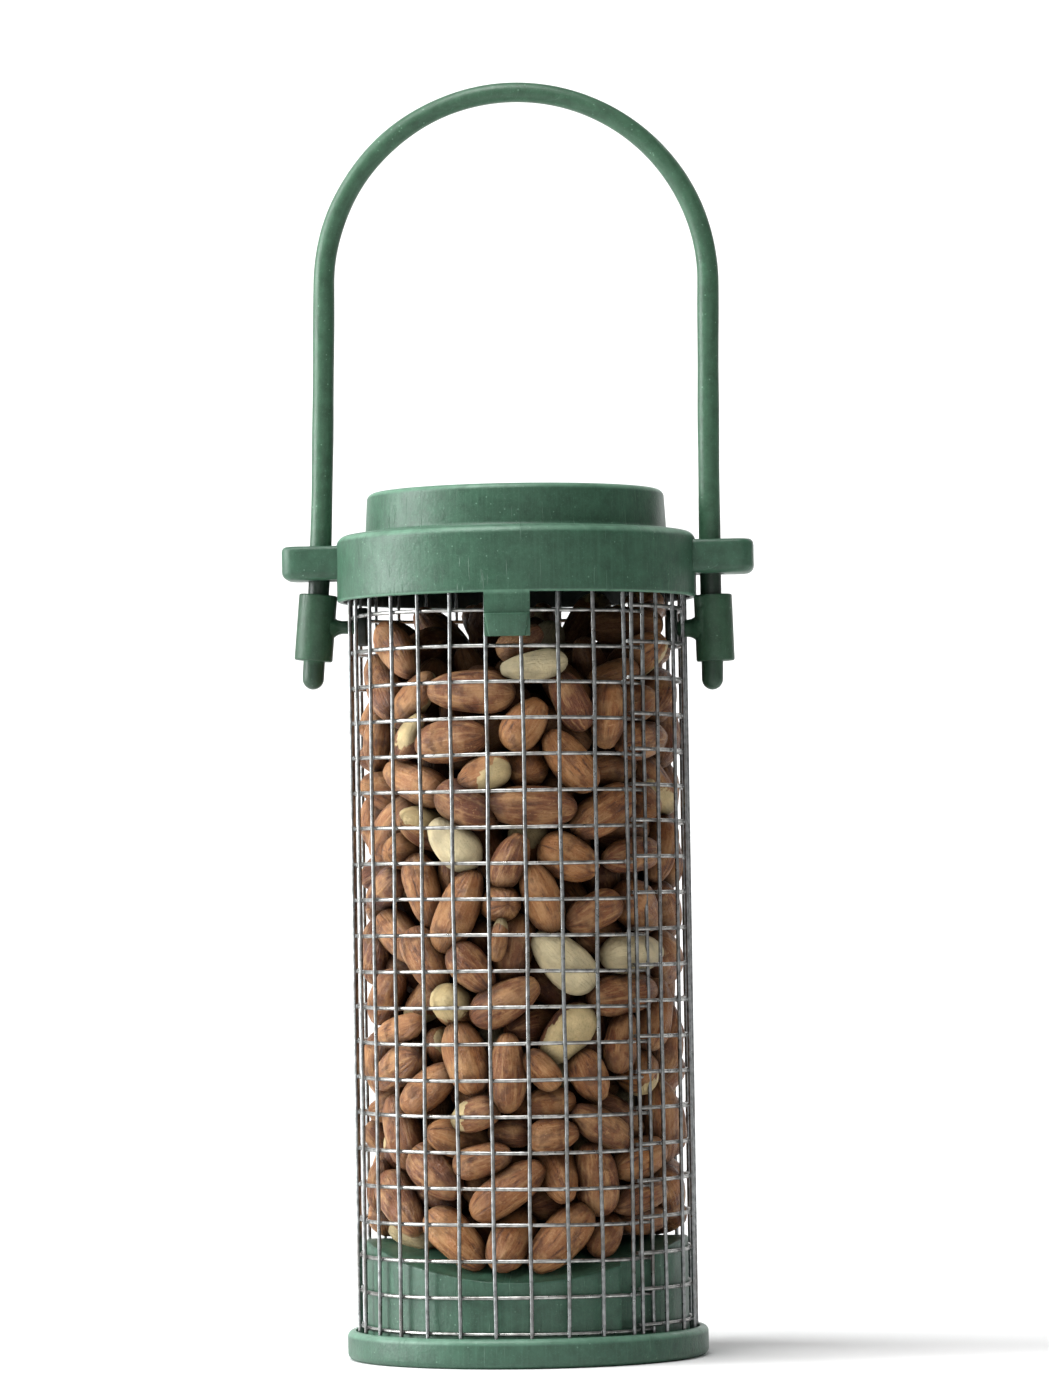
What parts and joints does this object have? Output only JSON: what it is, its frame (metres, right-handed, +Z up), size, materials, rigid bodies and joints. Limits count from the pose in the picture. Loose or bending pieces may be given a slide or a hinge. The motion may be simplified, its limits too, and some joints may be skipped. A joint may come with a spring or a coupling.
{
  "type": "hanging bird feeder",
  "caption": "Wire-mesh tube feeder filled with peanuts, with a moulded base, a lid that slides up a wire bail and a rod bail held by two pivoting lugs.",
  "frame": {"origin": "centre of the underside of the base, on the mesh tube's axis", "axes": "+Z up along the tube, +X towards the right-hand lug and along the bail's pivot axis, -Y towards the front with the thumb tab"},
  "size_m": [0.0856, 0.0662, 0.2298],
  "materials": {
    "green_plastic": "satin moulded plastic with fine scuffs",
    "bail_coating": "satin PVC coating on the rod",
    "galvanised_wire": "dull galvanised wire, welded at each crossing",
    "core_steel": "drawn steel, hidden inside the coating",
    "peanut_skin": "matte red-brown papery skin",
    "peanut_kernel": "matte cream kernel without its skin"
  },
  "bodies": {
    "tube": {"base": "green_plastic", "mesh_line_wires": "galvanised_wire", "mesh_hoop_wires": "galvanised_wire", "skinned_peanuts": "peanut_skin", "blanched_peanuts": "peanut_kernel"},
    "bail": {"bail_sleeve": "bail_coating", "bail_core": "core_steel", "lug_left": "green_plastic", "lug_right": "green_plastic", "retainer_left": "green_plastic", "retainer_right": "green_plastic"},
    "lid": {"lid": "green_plastic"}
  },
  "joints": [
    {"name": "lid_slide", "type": "slide", "parent": "bail", "child": "lid", "axis": [0, 0, 1], "range_m": [0, 0.045]},
    {"name": "bail_swing", "type": "hinge", "parent": "tube", "child": "bail", "pos_m": [0, 0, 0.1309], "axis": [1, 0, 0], "range_deg": [0, 18]}
  ],
  "couplings": [
    {"joint": "bail_swing", "follows": "lid_slide", "rad_per_m": 6.98}
  ]
}
